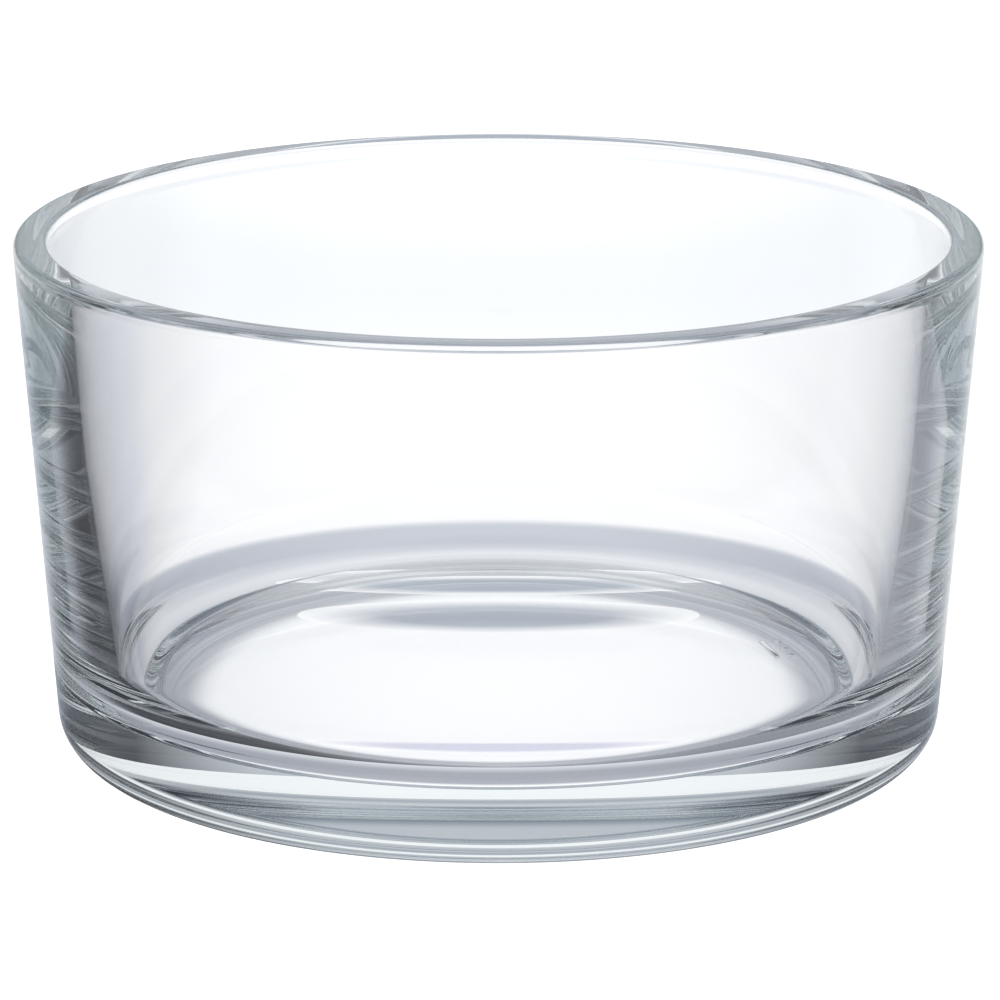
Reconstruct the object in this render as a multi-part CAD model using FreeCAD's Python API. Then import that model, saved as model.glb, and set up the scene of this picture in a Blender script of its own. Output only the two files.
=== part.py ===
"""Heavy pressed-glass crystallizing dish: one piece of clear soda-lime glass.

The body is a single revolved solid about the Z axis, standing on a flat foot ring at Z = 0:
  - a straight outer wall that widens from the rounded heel to the rim;
  - a wall that is thicker low down, because the cavity tapers more than the outside does;
  - a level rim with rounded corners, and just inside it a shallow neck where the bore opens out;
  - a slightly crowned cavity floor that meets the wall in a generous sweep;
  - a thick base whose underside steps up from the foot ring to a recess with a slightly domed roof.
A small generic mould mark, three dots and a bar, stands proud of the recess roof.
All lengths are in millimetres and all angles in degrees.
"""

import FreeCAD, Part
import math
import os

from FreeCAD import Placement, Rotation, Vector

# --- outside --------------------------------------------------------------------------------
RIM_DIAMETER = 140.0  # largest outside diameter, just under the rim's outer corner
HEIGHT = 76.0
HEEL_CONE_DIAMETER = 128.5  # outside cone carried down to the table
HEEL_RADIUS = 6.1
RIM_OUTER_CORNER = 1.2
RIM_INNER_CORNER = 0.7

# --- cavity ---------------------------------------------------------------------------------
RIM_BORE_DIAMETER = 130.1  # inside the rim
BORE_CONE_DIAMETER = 110.9  # inside cone carried down to the table
BORE_FLARE = 0.257  # how much the bore's diameter grows for each unit of height
NECK_BOTTOM = 73.0  # height where the bore starts to open towards the rim
NECK_TOP = 74.6
NECK_EASE = 0.45  # share of the neck's height taken by each end of its curve
FLOOR_HEIGHT = 9.9  # at its edge
FLOOR_DIAMETER = 99.4  # where the floor meets the sweep
FLOOR_CROWN = 0.7  # the floor's middle stands this much above its edge
SWEEP_HEIGHT = 9.5
SWEEP_WALL_PULL = 0.68  # how closely the sweep follows the wall, then the floor, into the corner
SWEEP_FLOOR_PULL = 0.39

# --- underside ------------------------------------------------------------------------------
FOOT_RING_INNER_DIAMETER = 108.0
RECESS_DIAMETER = 103.0
RECESS_DEPTH = 1.2  # at the recess's edge
RECESS_DOME = 1.0  # the roof's extra height at the axis
STEP_EASE = 0.46  # share of the step's width taken by each end of its curve

# --- mould mark on the recess roof, seen through the floor --------------------------------------
MARK_RADIUS = 46.0  # from the dish's axis to the row of dots
MARK_AZIMUTH = 16.0  # from +X towards +Y
MARK_RELIEF = 0.3
MARK_ROOT = 0.6  # how far the dots and bar reach up into the glass, so that they join it
DOT_RADIUS = 0.8
DOT_PITCH = 2.8
DOT_COUNT = 3
BAR_LENGTH = 7.2
BAR_WIDTH = 0.8
BAR_INSET = 2.6  # from the row of dots towards the axis

# --- worked out from them -------------------------------------------------------------------
RIM_RADIUS = RIM_DIAMETER / 2
RIM_BORE_RADIUS = RIM_BORE_DIAMETER / 2
FLOOR_RADIUS = FLOOR_DIAMETER / 2
RECESS_RADIUS = RECESS_DIAMETER / 2
FOOT_INNER_RADIUS = FOOT_RING_INNER_DIAMETER / 2
RIM_CORNER_Z = HEIGHT - RIM_OUTER_CORNER
OUTER_SLOPE = (RIM_RADIUS - HEEL_CONE_DIAMETER / 2) / RIM_CORNER_Z
SWEEP_TOP = FLOOR_HEIGHT + SWEEP_HEIGHT


def outer_radius(z):
    """Outside cone, straight from the table to the rim's outer corner."""
    return HEEL_CONE_DIAMETER / 2 + OUTER_SLOPE * z


def bore_radius(z):
    """Inside cone, straight from the sweep to the neck."""
    return (BORE_CONE_DIAMETER + BORE_FLARE * z) / 2


def point(r, z):
    """A point of the half profile, which lies in the XZ plane."""
    return Vector(r, 0, z)


def line(start, end):
    return Part.LineSegment(start, end).toShape()


def arc(start, middle, end):
    return Part.Arc(start, middle, end).toShape()


def curve(*poles):
    """A smooth curve that leaves its first pole towards the second and arrives from the last but one."""
    bezier = Part.BezierCurve()
    bezier.setPoles(list(poles))
    return bezier.toShape()


def arc_point(centre, radius, degrees):
    """Where the circle about centre is at that angle, 0 along +R and 90 along +Z."""
    a = math.radians(degrees)
    return point(centre.x + radius * math.cos(a), centre.z + radius * math.sin(a))


def arc_about(centre, radius, first, last):
    return arc(
        arc_point(centre, radius, first),
        arc_point(centre, radius, (first + last) / 2),
        arc_point(centre, radius, last),
    )


def between(a, b, share):
    return a + (b - a) * share


def bowed(radius, edge_z, rise):
    """Axis, half-way and edge points of a shallow spherical surface that is rise higher at the axis."""
    ball = (radius ** 2 + rise ** 2) / (2 * rise)
    centre_z = edge_z + rise - ball
    half_angle = math.asin(radius / ball) / 2
    half_way = point(ball * math.sin(half_angle), centre_z + ball * math.cos(half_angle))
    return point(0, edge_z + rise), half_way, point(radius, edge_z)


def underside(roof_edge, foot_inner):
    """The recess's domed roof and the eased step down to the foot ring."""
    reach = point((FOOT_INNER_RADIUS - RECESS_RADIUS) * STEP_EASE, 0)
    roof_fall = point(0, 2 * RECESS_DOME / RECESS_RADIUS * reach.x)
    return [
        arc(*bowed(RECESS_RADIUS, RECESS_DEPTH, RECESS_DOME)),
        curve(roof_edge, roof_edge + reach - roof_fall, foot_inner - reach, foot_inner),
    ]


def outside(foot_inner):
    """The foot ring's flat, the heel, the outer wall, and the rim's outer corner. Gives the corner's end too."""
    lean = math.degrees(math.atan(OUTER_SLOPE))
    heel_centre = point(outer_radius(HEEL_RADIUS) - HEEL_RADIUS / math.cos(math.radians(lean)), HEEL_RADIUS)
    corner_centre = point(RIM_RADIUS - RIM_OUTER_CORNER, RIM_CORNER_Z)
    edges = [
        line(foot_inner, arc_point(heel_centre, HEEL_RADIUS, -90)),
        arc_about(heel_centre, HEEL_RADIUS, -90, -lean),
        line(arc_point(heel_centre, HEEL_RADIUS, -lean), arc_point(corner_centre, RIM_OUTER_CORNER, 0)),
        arc_about(corner_centre, RIM_OUTER_CORNER, 0, 90),
    ]
    return edges, arc_point(corner_centre, RIM_OUTER_CORNER, 90)


def inside(rim_top_outer):
    """The rim's level top, its inner corner, the neck, the bore, the sweep and the floor."""
    corner_centre = point(RIM_BORE_RADIUS + RIM_INNER_CORNER, HEIGHT - RIM_INNER_CORNER)
    neck_top = point(RIM_BORE_RADIUS, NECK_TOP)
    neck_bottom = point(bore_radius(NECK_BOTTOM), NECK_BOTTOM)
    ease = (NECK_TOP - NECK_BOTTOM) * NECK_EASE
    sweep_top = point(bore_radius(SWEEP_TOP), SWEEP_TOP)
    corner = point(bore_radius(FLOOR_HEIGHT), FLOOR_HEIGHT)
    floor_edge = point(FLOOR_RADIUS, FLOOR_HEIGHT)
    return [
        line(rim_top_outer, arc_point(corner_centre, RIM_INNER_CORNER, 90)),
        arc_about(corner_centre, RIM_INNER_CORNER, 90, 180),
        line(arc_point(corner_centre, RIM_INNER_CORNER, 180), neck_top),
        curve(
            neck_top,
            point(RIM_BORE_RADIUS, NECK_TOP - ease),
            point(bore_radius(NECK_BOTTOM + ease), NECK_BOTTOM + ease),
            neck_bottom,
        ),
        line(neck_bottom, sweep_top),
        curve(
            sweep_top,
            between(sweep_top, corner, SWEEP_WALL_PULL),
            between(floor_edge, corner, SWEEP_FLOOR_PULL),
            floor_edge,
        ),
        arc(*reversed(bowed(FLOOR_RADIUS, FLOOR_HEIGHT, FLOOR_CROWN))),
    ]


def floor_middle():
    return point(0, FLOOR_HEIGHT + FLOOR_CROWN)


def dish_body():
    """The half profile, from the axis under the base, round the outside and back to the axis, turned once."""
    roof_edge = point(RECESS_RADIUS, RECESS_DEPTH)
    foot_inner = point(FOOT_INNER_RADIUS, 0)
    outer_edges, rim_top_outer = outside(foot_inner)
    axis = line(floor_middle(), point(0, RECESS_DEPTH + RECESS_DOME))
    wire = Part.Wire(underside(roof_edge, foot_inner) + outer_edges + inside(rim_top_outer) + [axis])
    return Part.Face(wire).revolve(Vector(0, 0, 0), Vector(0, 0, 1), 360)


def mould_mark():
    """Three dots in a row round the axis, and a bar nearer the axis, all reaching up into the glass."""
    roof = RECESS_DEPTH + RECESS_DOME * (1 - (MARK_RADIUS / RECESS_RADIUS) ** 2)
    bottom = roof - MARK_RELIEF
    tall = MARK_RELIEF + MARK_ROOT
    middle = (DOT_COUNT - 1) / 2
    pieces = [
        Part.makeCylinder(DOT_RADIUS, tall, Vector(MARK_RADIUS, (i - middle) * DOT_PITCH, bottom))
        for i in range(DOT_COUNT)
    ]
    bar_corner = Vector(MARK_RADIUS - BAR_INSET - BAR_WIDTH / 2, -BAR_LENGTH / 2, bottom)
    pieces.append(Part.makeBox(BAR_WIDTH, BAR_LENGTH, tall, bar_corner))
    turn = Placement(Vector(0, 0, 0), Rotation(Vector(0, 0, 1), MARK_AZIMUTH))
    for piece in pieces:
        piece.Placement = turn.multiply(piece.Placement)
    return pieces


def main():
    os.makedirs("parts", exist_ok=True)
    dish = dish_body().fuse(mould_mark())
    solid = dish.Solids[0]
    print("solids", len(dish.Solids), "valid", solid.isValid(), "volume cm3", round(solid.Volume / 1000, 2))
    print(solid.BoundBox)
    solid.exportStep("parts/dish.step")


main()
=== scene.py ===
"""Looks of the heavy pressed-glass crystallizing dish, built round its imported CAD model. Metres throughout."""

import math

import bpy
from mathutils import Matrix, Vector


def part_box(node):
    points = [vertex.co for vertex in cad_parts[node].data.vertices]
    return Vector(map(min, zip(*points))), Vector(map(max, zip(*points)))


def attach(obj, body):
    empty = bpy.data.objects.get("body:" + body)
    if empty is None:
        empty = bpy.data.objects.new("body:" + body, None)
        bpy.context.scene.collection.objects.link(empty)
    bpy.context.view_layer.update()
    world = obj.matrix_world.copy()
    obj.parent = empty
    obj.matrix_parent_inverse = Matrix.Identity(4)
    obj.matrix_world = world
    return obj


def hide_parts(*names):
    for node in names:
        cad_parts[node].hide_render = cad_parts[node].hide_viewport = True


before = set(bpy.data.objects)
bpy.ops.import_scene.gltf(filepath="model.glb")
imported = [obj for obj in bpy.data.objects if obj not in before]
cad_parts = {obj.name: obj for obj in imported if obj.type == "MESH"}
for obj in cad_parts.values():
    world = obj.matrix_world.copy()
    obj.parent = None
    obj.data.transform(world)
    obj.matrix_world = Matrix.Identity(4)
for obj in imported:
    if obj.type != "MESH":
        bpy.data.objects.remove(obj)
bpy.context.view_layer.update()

MM = 0.001

# --- the dish's driving dimensions, as in its CAD source ---------------------------------------
low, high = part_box("dish")
HEIGHT = high.z
RIM_RADIUS = high.x
FOOT_Z = low.z

HEEL_CONE_RADIUS = 64.25 * MM  # outside cone carried down to the table
HEEL_RADIUS = 6.1 * MM
RIM_OUTER_CORNER = 1.2 * MM
RIM_INNER_CORNER = 0.7 * MM

RIM_BORE_RADIUS = 65.05 * MM
BORE_CONE_RADIUS = 55.45 * MM  # inside cone carried down to the table
BORE_SLOPE = 0.1285
NECK_BOTTOM = 73.0 * MM
NECK_TOP = 74.6 * MM
NECK_EASE = 0.45
FLOOR_HEIGHT = 9.9 * MM
FLOOR_RADIUS = 49.7 * MM
FLOOR_CROWN = 0.7 * MM
SWEEP_HEIGHT = 9.5 * MM
SWEEP_WALL_PULL = 0.68
SWEEP_FLOOR_PULL = 0.39

FOOT_INNER_RADIUS = 54.0 * MM
RECESS_RADIUS = 51.5 * MM
RECESS_DEPTH = 1.2 * MM
RECESS_DOME = 1.0 * MM
STEP_EASE = 0.46

MARK_RADIUS = 46.0 * MM
MARK_AZIMUTH = math.radians(16)
MARK_RELIEF = 0.3 * MM
MARK_ROOT = 0.6 * MM
DOT_RADIUS = 0.8 * MM
DOT_PITCH = 2.8 * MM
DOT_COUNT = 3
BAR_LENGTH = 7.2 * MM
BAR_WIDTH = 0.8 * MM
BAR_INSET = 2.6 * MM

RIM_CORNER_Z = HEIGHT - RIM_OUTER_CORNER
OUTER_SLOPE = (RIM_RADIUS - HEEL_CONE_RADIUS) / RIM_CORNER_Z
SWEEP_TOP = FLOOR_HEIGHT + SWEEP_HEIGHT

TURNS = 640  # facets round the dish
ARC_STEP = math.radians(6)  # facet angle of its small round corners
ARC_SPANS_MIN = 4
WALL_SPANS = 3
STEP_SPANS = 12
NECK_SPANS = 14
SWEEP_SPANS = 26
BOW_SPANS = 14  # from the axis to the edge of the floor, and of the recess roof
SEAM_GAP = 0.002 * MM  # points nearer than this are one point
SMOOTH_ANGLE = math.radians(20)
DOT_FACETS = 24
MARK_EDGE = 0.12 * MM  # rounding of the mark's lower edges
MARK_EDGE_SPANS = 3
FACES_DOWN = -0.9  # a face whose normal's height is below this looks down

# --- camera and surroundings --------------------------------------------------------------------
CAMERA_DISTANCE = 0.875
CAMERA_ELEVATION = math.radians(15.087)
LENS_MM = 215.73
SENSOR_MM = 36
FRAME_SHIFT = (0.00147, -0.014725)
CLIP_RANGE = (0.01, 50)
LIGHT_BOUNCES = 96

TABLE_RADIUS = 9.0
TABLE_GLOW = 1.25
CARD_RADIUS = 0.4
CARD_FADE = (0.28, 0.39)  # distances from the axis between which the card's greys fade to the table's white
CARD_LIFT = 0.03 * MM  # from the table to the card, the card to the spots, and the spots to the dish's foot
DISC_FACETS = 192
PAPER_WHITE = "#ffffff"
WALL_REACH = 60  # mm from the axis: how far out a line of sight can pass and still go through both side walls

# painted shade beside the dish, standing in for the dark room walls seen through the side walls: (degrees that a
# line of sight through the side wall has swung outwards, hex colour)
LEFT_PAINTED_WALL_SHADE = [
    (0, "#f8f8f8"), (8, "#e6e6e6"), (12, "#d4d6dd"), (22, "#b9bbc3"), (28, "#92949a"), (31, "#727378"),
    (34, "#56565a"), (38, "#46474a"), (70, "#4e4f52"), (90, "#9ea0a6"), (118, "#f6f6f6"),
]
RIGHT_PAINTED_WALL_SHADE = [
    (0, "#f8f8f8"), (8, "#f5f5f5"), (22, "#dddddd"), (28, "#c1c3ca"), (34, "#a1a3a9"), (38, "#999ba1"),
    (70, "#96989d"), (90, "#adafb6"), (118, "#f6f6f6"),
]
GREYS_SPAN = 120  # degrees
# painted shadow under the base and just outside it, darkest under the foot and in a ring round it: (mm from the
# axis, hex colour)
NEAR_PAINTED_SHADOW = [
    (0, "#fbfbfc"), (43, "#f4f5f7"), (47, "#9da1aa"), (56, "#9498a1"), (61, "#d6d9de"), (66, "#dddfe4"),
    (70, "#b7bcc6"), (79, "#bcc1ca"), (83, "#f4f5f7"), (150, "#f4f5f7"), (260, "#e9ecf0"), (400, "#eff1f3"),
]
SHADE_SPOTS_MM = [  # (middle y, half width, half depth, hex colour), spots of painted shade, all under the base
    (33, 32, 8, "#7f8999"), (48, 38, 4.5, "#8f99a8"), (-32, 28, 4.5, "#cfcfe0"),
]
SPOT_EDGE = "#fbfbfc"
SPOT_CORE = 0.45  # share of the way in from a spot's edge where its full colour begins

ROOM_TONES = [  # (degrees above the horizon, hex colour), ahead of and behind the dish
    (0, "#d6d8dc"), (5, "#a9b0ba"), (9, "#c6cad0"), (13, "#dcdfe3"), (19, "#c6cad1"), (27, "#9ea5b0"),
    (40, "#6d7683"), (47, "#7e8691"), (57, "#b8bdc6"), (68, "#dcdfe4"), (79, "#adb3bd"), (86, "#5f6a7a"),
]
DRAPE_TONES = [  # the same, at each side
    (0, "#d6d8dc"), (8, "#c0c4ca"), (13, "#6b6e75"), (20, "#3c3e44"), (48, "#3c3e44"), (62, "#6b7078"),
    (86, "#5f6a7a"),
]
ZENITH = 90
DRAPE_EDGES = (0.38, 0.66)  # sideways share of a direction where the drapes begin, and where they are full


# sockets of Blender's Mix node when it mixes colours
SHARE, FIRST, SECOND, MIXED = 0, 6, 7, 2


# --- small helpers --------------------------------------------------------------------------------
def linear(hex_colour):
    """sRGB hex to the linear values that Blender's sockets take."""
    channels = [int(hex_colour[i:i + 2], 16) / 255 for i in (1, 3, 5)]
    curved = [c / 12.92 if c <= 0.04045 else ((c + 0.055) / 1.055) ** 2.4 for c in channels]
    return (*curved, 1)


def add_node(tree, kind, inputs=None, stops=None, **settings):
    """Adds a node with its settings, a link or a value for each input, and a colour ramp's (place, hex) stops."""
    node = tree.nodes.new(kind)
    for name, value in settings.items():
        setattr(node, name, value)
    for socket, source in (inputs or {}).items():
        if isinstance(source, bpy.types.NodeSocket):
            tree.links.new(source, node.inputs[socket])
        else:
            node.inputs[socket].default_value = source
    if stops:
        elements = node.color_ramp.elements
        while len(elements) < len(stops):
            elements.new(0.5)
        for element, (place, colour) in zip(elements, stops):
            element.position = place
            element.color = linear(colour)
    return node


def new_material(name):
    material = bpy.data.materials.new(name)
    material.use_nodes = True
    material.node_tree.nodes.clear()
    return material, material.node_tree


def deselect():
    if bpy.context.object and bpy.context.object.mode != "OBJECT":
        bpy.ops.object.mode_set(mode="OBJECT")
    bpy.ops.object.select_all(action="DESELECT")


def only(piece):
    """Makes piece the one selected, active object."""
    deselect()
    piece.select_set(True)
    bpy.context.view_layer.objects.active = piece
    return piece


def between(a, b, share):
    return (a[0] + (b[0] - a[0]) * share, a[1] + (b[1] - a[1]) * share)


# --- half profile of the dish, as points of (radius, height) --------------------------------------
def outer_radius(z):
    return HEEL_CONE_RADIUS + OUTER_SLOPE * z


def bore_radius(z):
    return BORE_CONE_RADIUS + BORE_SLOPE * z


def straight(start, end, count):
    return [between(start, end, i / count) for i in range(1, count + 1)]


def corner_arc(centre, radius, first, last):
    count = max(ARC_SPANS_MIN, math.ceil(abs(last - first) / ARC_STEP))
    angles = [first + (last - first) * i / count for i in range(count + 1)]
    return [(centre[0] + radius * math.cos(a), centre[1] + radius * math.sin(a)) for a in angles]


def eased(start, lead, trail, end, count):
    """A smooth curve that leaves start towards lead and reaches end from trail."""
    points = []
    for i in range(1, count + 1):
        t = i / count
        shares = ((1 - t) ** 3, 3 * t * (1 - t) ** 2, 3 * t * t * (1 - t), t ** 3)
        points.append(tuple(sum(s * p[k] for s, p in zip(shares, (start, lead, trail, end))) for k in (0, 1)))
    return points


def bowed(radius, edge_z, rise, outwards):
    """A floor or roof that is rise higher in the middle than at its edge, from the axis out or back in."""
    radii = [radius * i / BOW_SPANS for i in range(BOW_SPANS + 1)]
    if not outwards:
        radii.reverse()
    return [(r, edge_z + rise * (1 - (r / radius) ** 2)) for r in radii]


def underside_points():
    roof_edge, foot_inner = (RECESS_RADIUS, RECESS_DEPTH), (FOOT_INNER_RADIUS, FOOT_Z)
    reach = (FOOT_INNER_RADIUS - RECESS_RADIUS) * STEP_EASE
    fall = 2 * RECESS_DOME / RECESS_RADIUS * reach
    lead, trail = (RECESS_RADIUS + reach, RECESS_DEPTH - fall), (FOOT_INNER_RADIUS - reach, FOOT_Z)
    roof = bowed(RECESS_RADIUS, RECESS_DEPTH, RECESS_DOME, True)
    return roof + eased(roof_edge, lead, trail, foot_inner, STEP_SPANS)


def outside_points():
    lean = math.atan(OUTER_SLOPE)
    heel_centre = (outer_radius(HEEL_RADIUS) - HEEL_RADIUS / math.cos(lean), HEEL_RADIUS)
    heel = corner_arc(heel_centre, HEEL_RADIUS, -math.pi / 2, -lean)
    wall = straight(heel[-1], (RIM_RADIUS, RIM_CORNER_Z), WALL_SPANS)
    corner = corner_arc((RIM_RADIUS - RIM_OUTER_CORNER, RIM_CORNER_Z), RIM_OUTER_CORNER, 0, math.pi / 2)
    return heel + wall + corner[1:]


def inside_points():
    corner_centre = (RIM_BORE_RADIUS + RIM_INNER_CORNER, HEIGHT - RIM_INNER_CORNER)
    points = corner_arc(corner_centre, RIM_INNER_CORNER, math.pi / 2, math.pi)
    neck_top, neck_bottom = (RIM_BORE_RADIUS, NECK_TOP), (bore_radius(NECK_BOTTOM), NECK_BOTTOM)
    ease = (NECK_TOP - NECK_BOTTOM) * NECK_EASE
    lead, trail = (RIM_BORE_RADIUS, NECK_TOP - ease), (bore_radius(NECK_BOTTOM + ease), NECK_BOTTOM + ease)
    points += [neck_top] + eased(neck_top, lead, trail, neck_bottom, NECK_SPANS)
    sweep_top, floor_edge = (bore_radius(SWEEP_TOP), SWEEP_TOP), (FLOOR_RADIUS, FLOOR_HEIGHT)
    corner = (bore_radius(FLOOR_HEIGHT), FLOOR_HEIGHT)
    lead, trail = between(sweep_top, corner, SWEEP_WALL_PULL), between(floor_edge, corner, SWEEP_FLOOR_PULL)
    points += straight(neck_bottom, sweep_top, WALL_SPANS)
    points += eased(sweep_top, lead, trail, floor_edge, SWEEP_SPANS)
    return points + bowed(FLOOR_RADIUS, FLOOR_HEIGHT, FLOOR_CROWN, False)[1:]


# --- the dish -------------------------------------------------------------------------------------
def draw_half_profile():
    """One corner of a small plane at the recess roof's middle, extruded point by point round the profile."""
    points = underside_points() + outside_points() + inside_points()
    first = (points[0][0], 0, points[0][1])
    deselect()
    bpy.ops.mesh.primitive_plane_add(size=MM, location=first)
    dish = bpy.context.object
    bpy.ops.object.mode_set(mode="EDIT")
    bpy.ops.mesh.merge(type="CENTER")
    for here, there in zip(points, points[1:]):
        step = (there[0] - here[0], 0, there[1] - here[1])
        bpy.ops.mesh.extrude_region_move(TRANSFORM_OT_translate={"value": step})
    bpy.ops.mesh.select_all(action="SELECT")
    return dish


def turn_round(dish):
    """Spins the profile once round the axis and closes the seam and the poles."""
    bpy.ops.mesh.spin(steps=TURNS, angle=2 * math.pi, center=(0, 0, 0), axis=(0, 0, 1))
    bpy.ops.mesh.select_all(action="SELECT")
    bpy.ops.mesh.remove_doubles(threshold=SEAM_GAP)
    bpy.ops.mesh.normals_make_consistent(inside=False)
    bpy.ops.object.mode_set(mode="OBJECT")
    bpy.ops.object.transform_apply(location=True, rotation=True, scale=True)


def place_mark_piece(piece, radius, offset):
    """Moves a mark piece out to its radius and round by its offset along the row, and turns it with the mark."""
    roof = RECESS_DEPTH + RECESS_DOME * (1 - (MARK_RADIUS / RECESS_RADIUS) ** 2)
    middle = Vector((radius, offset, roof + (MARK_ROOT - MARK_RELIEF) / 2))
    towards = Vector((math.cos(MARK_AZIMUTH), math.sin(MARK_AZIMUTH), 0))
    middle.rotate(Vector((1, 0, 0)).rotation_difference(towards))
    piece.location = middle
    piece.rotation_euler.z = MARK_AZIMUTH
    only(piece)
    bpy.ops.object.transform_apply(location=True, rotation=True, scale=True)


def soften_foot(piece):
    """Rounds the edge of the face that looks down, as a mould leaves it."""
    only(piece)
    bpy.ops.object.mode_set(mode="EDIT")
    bpy.ops.mesh.select_mode(type="FACE")
    bpy.ops.mesh.select_all(action="DESELECT")
    bpy.ops.object.mode_set(mode="OBJECT")
    for face in piece.data.polygons:
        face.select = face.normal.z < FACES_DOWN
    bpy.ops.object.mode_set(mode="EDIT")
    bpy.ops.mesh.bevel(offset=MARK_EDGE, segments=MARK_EDGE_SPANS, affect="EDGES")
    bpy.ops.object.mode_set(mode="OBJECT")


def mark_pieces():
    """Three dots and a bar, each tall enough to reach up into the glass."""
    tall = MARK_RELIEF + MARK_ROOT
    pieces = []
    for i in range(DOT_COUNT):
        deselect()
        bpy.ops.mesh.primitive_cylinder_add(vertices=DOT_FACETS, radius=DOT_RADIUS, depth=tall)
        dot = bpy.context.object
        soften_foot(dot)
        place_mark_piece(dot, MARK_RADIUS, (i - (DOT_COUNT - 1) / 2) * DOT_PITCH)
        pieces.append(dot)
    deselect()
    bpy.ops.mesh.primitive_cube_add(size=1)
    bar = bpy.context.object
    bar.scale = (BAR_WIDTH, BAR_LENGTH, tall)
    bpy.ops.object.transform_apply(location=False, rotation=False, scale=True)
    soften_foot(bar)
    place_mark_piece(bar, MARK_RADIUS - BAR_INSET, 0)
    return pieces + [bar]


def press_mark(dish):
    """Joins the mark to the dish's underside as one body of glass."""
    dots_and_bar = mark_pieces()
    only(dots_and_bar[0])
    for piece in dots_and_bar:
        piece.select_set(True)
    bpy.ops.object.join()
    mark = bpy.context.object
    only(dish)
    union = dish.modifiers.new("mark", "BOOLEAN")
    union.operation = "UNION"
    union.solver = "EXACT"
    union.object = mark
    bpy.ops.object.modifier_apply(modifier=union.name)
    bpy.data.objects.remove(mark)


def make_dish():
    dish = draw_half_profile()
    dish.name = "glass_dish"
    turn_round(dish)
    press_mark(dish)
    only(dish)
    bpy.ops.object.shade_smooth_by_angle(angle=SMOOTH_ANGLE)
    return dish


# --- materials ------------------------------------------------------------------------------------
def pressed_soda_lime_glass():
    """Clear soda-lime glass, pressed and fire-polished: glossy all over, and grey-green only where seen edge-on."""
    material, tree = new_material("pressed_soda_lime_glass")
    surface = {"Base Color": linear("#ffffff"), "Roughness": 0.0, "IOR": 1.52, "Transmission Weight": 1.0}
    glass = add_node(tree, "ShaderNodeBsdfPrincipled", surface)
    tint = add_node(tree, "ShaderNodeVolumeAbsorption", {"Color": linear("#e6eded"), "Density": 6.0})
    ends = {"Surface": glass.outputs["BSDF"], "Volume": tint.outputs["Volume"]}
    add_node(tree, "ShaderNodeOutputMaterial", ends)
    return material


def glowing(tree, colour):
    """Ends a stage material with an even glow, of one colour or of what comes from a socket."""
    glow = add_node(tree, "ShaderNodeEmission", {"Color": colour, "Strength": TABLE_GLOW})
    add_node(tree, "ShaderNodeOutputMaterial", {"Surface": glow.outputs["Emission"]})


def lit_white_acrylic():
    """Opal acrylic table lit from below, evenly white."""
    material, tree = new_material("lit_white_acrylic")
    glowing(tree, linear(PAPER_WHITE))
    return material


def painted_wall_shade_beside_dish(tree, parts, away):
    """Painted shade standing in for the room's dark walls, by how far a line of sight through the side wall has
    swung outwards.
    """
    sideways = add_node(tree, "ShaderNodeMath", {0: parts["X"]}, operation="ABSOLUTE").outputs[0]
    bearing = add_node(tree, "ShaderNodeMath", {0: sideways, 1: parts["Y"]}, operation="ARCTAN2").outputs[0]
    reach = add_node(tree, "ShaderNodeMath", {0: WALL_REACH * MM, 1: away}, operation="DIVIDE").outputs[0]
    reach = add_node(tree, "ShaderNodeMath", {0: reach, 1: 1}, operation="MINIMUM").outputs[0]
    grazing = add_node(tree, "ShaderNodeMath", {0: reach}, operation="ARCSINE").outputs[0]
    swing = add_node(tree, "ShaderNodeMath", {0: bearing, 1: grazing}, operation="SUBTRACT").outputs[0]
    span = math.radians(GREYS_SPAN)
    share = add_node(tree, "ShaderNodeMath", {0: swing, 1: span}, operation="DIVIDE").outputs[0]
    # painted shade for the dark room walls, one ramp for each side
    left, right = (
        add_node(tree, "ShaderNodeValToRGB", {"Fac": share}, [(a / GREYS_SPAN, grey) for a, grey in greys])
        for greys in (LEFT_PAINTED_WALL_SHADE, RIGHT_PAINTED_WALL_SHADE)
    )
    on_the_right = add_node(tree, "ShaderNodeMath", {0: parts["X"], 1: 0}, operation="GREATER_THAN").outputs[0]
    sides = {SHARE: on_the_right, FIRST: left.outputs["Color"], SECOND: right.outputs["Color"]}
    return add_node(tree, "ShaderNodeMix", sides, data_type="RGBA").outputs[MIXED]


def painted_shade_card_greys():
    """Card painted with greys, lying under and round the dish: painted shadow under the base, and painted shade
    standing in for the dark room walls.
    """
    material, tree = new_material("painted_shade_card")
    place = add_node(tree, "ShaderNodeTexCoord").outputs["Object"]
    parts = add_node(tree, "ShaderNodeSeparateXYZ", {"Vector": place}).outputs
    away = add_node(tree, "ShaderNodeVectorMath", {0: place}, operation="LENGTH").outputs["Value"]
    beside = painted_wall_shade_beside_dish(tree, parts, away)
    past_base = {0: away, 1: WALL_REACH * MM}
    outside_base = add_node(tree, "ShaderNodeMath", past_base, operation="GREATER_THAN").outputs[0]
    outwards = add_node(tree, "ShaderNodeMath", {0: away, 1: CARD_RADIUS}, operation="DIVIDE").outputs[0]
    # painted shadow under the base and round the foot, by distance from the axis
    rings = [(r * MM / CARD_RADIUS, grey) for r, grey in NEAR_PAINTED_SHADOW]
    near = add_node(tree, "ShaderNodeValToRGB", {"Fac": outwards}, rings).outputs["Color"]
    layers = {SHARE: outside_base, FIRST: near, SECOND: beside}
    greys = add_node(tree, "ShaderNodeMix", layers, data_type="RGBA", blend_type="MULTIPLY").outputs[MIXED]
    fade_range = {"Value": away, "From Min": CARD_FADE[0], "From Max": CARD_FADE[1]}
    fade = add_node(tree, "ShaderNodeMapRange", fade_range).outputs["Result"]
    to_white = {SHARE: fade, FIRST: greys, SECOND: linear(PAPER_WHITE)}
    glowing(tree, add_node(tree, "ShaderNodeMix", to_white, data_type="RGBA").outputs[MIXED])
    return material


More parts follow.
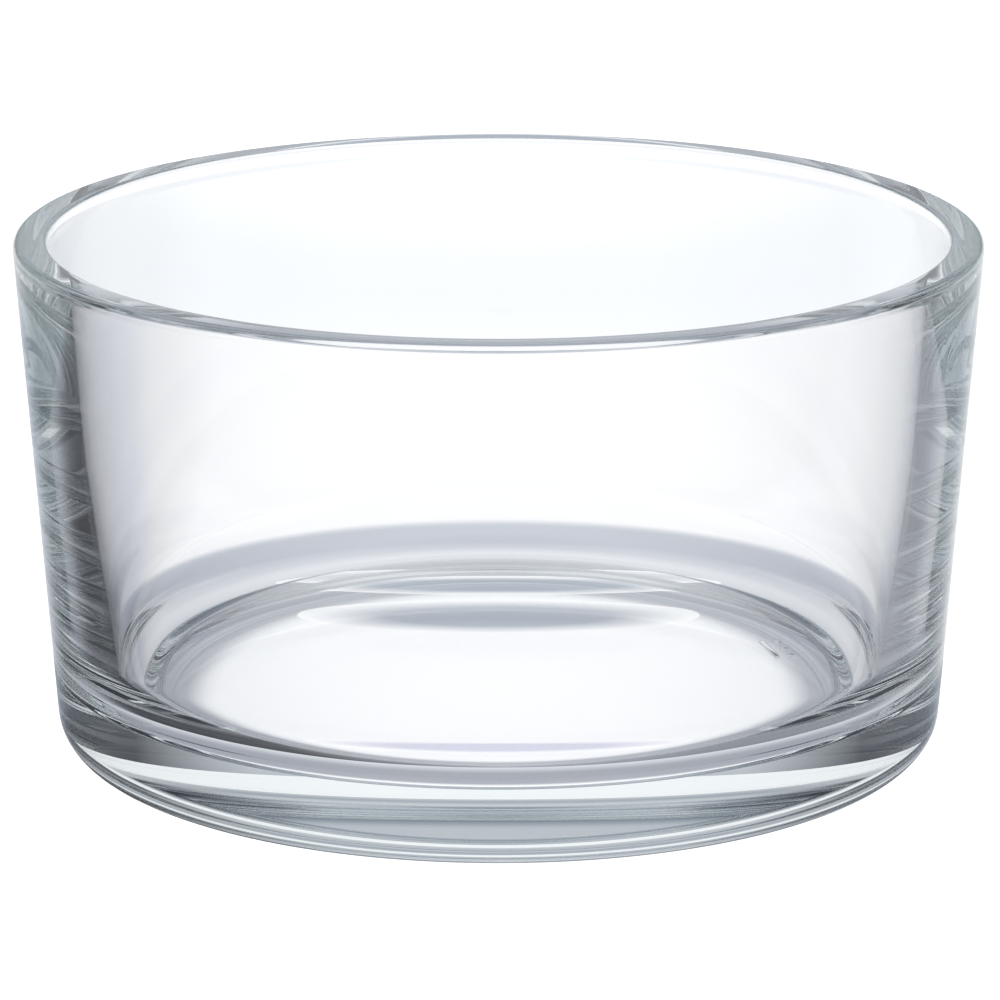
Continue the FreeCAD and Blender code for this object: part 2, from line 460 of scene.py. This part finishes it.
def painted_shade_spot(name, middle_y, half_width, half_depth, tone):
    """Spot of painted shade, darkest in the middle and fading to white at its edge."""
    material, tree = new_material(name)
    place = add_node(tree, "ShaderNodeTexCoord").outputs["Object"]
    spot = {"Vector": place, "Location": (0, middle_y, 0), "Scale": (half_width, half_depth, 1)}
    centred = add_node(tree, "ShaderNodeMapping", spot, vector_type="TEXTURE").outputs["Vector"]
    inwards = add_node(tree, "ShaderNodeTexGradient", {"Vector": centred}, gradient_type="SPHERICAL").outputs["Fac"]
    rings = [(0, SPOT_EDGE), (SPOT_CORE, tone), (1, tone)]
    glowing(tree, add_node(tree, "ShaderNodeValToRGB", {"Fac": inwards}, rings).outputs["Color"])
    return material


# --- studio ---------------------------------------------------------------------------------------
def make_disc(name, radius, height, material):
    deselect()
    bpy.ops.mesh.primitive_circle_add(
        vertices=DISC_FACETS, radius=radius, fill_type="NGON", location=(0, 0, height),
    )
    disc = bpy.context.object
    disc.name = name
    disc.data.materials.append(material)
    return disc


def only_through_glass(piece):
    """Keeps a card out of the camera's direct sight, so that it shows only in and through the glass."""
    piece.visible_camera = False
    piece.visible_shadow = False
    return piece


def make_table_top():
    """The white table, the grey card of painted shade on it, and the spots of painted shade on the card."""
    table_height = FOOT_Z - 3 * CARD_LIFT
    pieces = [make_disc("table", TABLE_RADIUS, table_height, lit_white_acrylic())]
    # grey card of painted shade, seen only through the glass
    card = make_disc("grey_card", CARD_RADIUS, table_height + CARD_LIFT, painted_shade_card_greys())
    pieces.append(only_through_glass(card))
    # spots of painted shade on the card, under the base
    for i, (middle, half_width, half_depth, tone) in enumerate(SHADE_SPOTS_MM):
        name = f"shade_spot_{i + 1}"
        material = painted_shade_spot(name, middle * MM, half_width * MM, half_depth * MM, tone)
        spot = make_disc(name, 1, 0, material)
        spot.scale = (half_width * MM, half_depth * MM, 1)
        spot.location = (0, middle * MM, table_height + 2 * CARD_LIFT)
        only(spot)
        bpy.ops.object.transform_apply(location=True, rotation=True, scale=True)
        pieces.append(only_through_glass(spot))
    return pieces


def make_room():
    """Pale studio room: soft bands of light at several heights, dark drapes at both sides, and a dim ceiling."""
    world = bpy.data.worlds.new("studio_room")
    world.use_nodes = True
    tree = world.node_tree
    tree.nodes.clear()
    look = add_node(tree, "ShaderNodeTexCoord").outputs["Generated"]
    parts = add_node(tree, "ShaderNodeSeparateXYZ", {"Vector": look}).outputs
    angle = add_node(tree, "ShaderNodeMath", {0: parts["Z"]}, operation="ARCSINE").outputs[0]
    climb = add_node(tree, "ShaderNodeMath", {0: angle, 1: math.radians(ZENITH)}, operation="DIVIDE").outputs[0]
    ahead, drapes = (
        add_node(tree, "ShaderNodeValToRGB", {"Fac": climb}, [(a / ZENITH, tone) for a, tone in tones])
        for tones in (ROOM_TONES, DRAPE_TONES)
    )
    sideways = add_node(tree, "ShaderNodeMath", {0: parts["X"]}, operation="ABSOLUTE").outputs[0]
    edge_range = {"Value": sideways, "From Min": DRAPE_EDGES[0], "From Max": DRAPE_EDGES[1]}
    edge = add_node(tree, "ShaderNodeMapRange", edge_range).outputs["Result"]
    room = {SHARE: edge, FIRST: ahead.outputs["Color"], SECOND: drapes.outputs["Color"]}
    tone = add_node(tree, "ShaderNodeMix", room, data_type="RGBA").outputs[MIXED]
    light = add_node(tree, "ShaderNodeBackground", {"Color": tone, "Strength": 1.0})
    add_node(tree, "ShaderNodeOutputWorld", {"Surface": light.outputs["Background"]})
    bpy.context.scene.world = world


def make_camera():
    data = bpy.data.cameras.new("camera")
    data.lens = LENS_MM
    data.sensor_width = SENSOR_MM
    data.shift_x, data.shift_y = FRAME_SHIFT
    data.clip_start, data.clip_end = CLIP_RANGE
    camera = bpy.data.objects.new("camera", data)
    bpy.context.scene.collection.objects.link(camera)
    level, up = math.cos(CAMERA_ELEVATION), math.sin(CAMERA_ELEVATION)
    camera.location = (0, -CAMERA_DISTANCE * level, HEIGHT / 2 + CAMERA_DISTANCE * up)
    camera.rotation_euler = (math.pi / 2 - CAMERA_ELEVATION, 0, 0)
    bpy.context.scene.camera = camera


def set_light_paths():
    """Long paths, because light runs round inside the thick wall many times before it leaves."""
    cycles = bpy.context.scene.cycles
    cycles.max_bounces = LIGHT_BOUNCES
    cycles.transmission_bounces = LIGHT_BOUNCES
    cycles.glossy_bounces = LIGHT_BOUNCES
    cycles.transparent_max_bounces = LIGHT_BOUNCES
    cycles.caustics_refractive = True
    cycles.caustics_reflective = True
    bpy.context.scene.view_settings.view_transform = "Standard"


dish = make_dish()
dish.data.materials.clear()
dish.data.materials.append(pressed_soda_lime_glass())
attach(dish, "root")
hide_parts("dish")

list(make_table_top())
make_room()
make_camera()
set_light_paths()
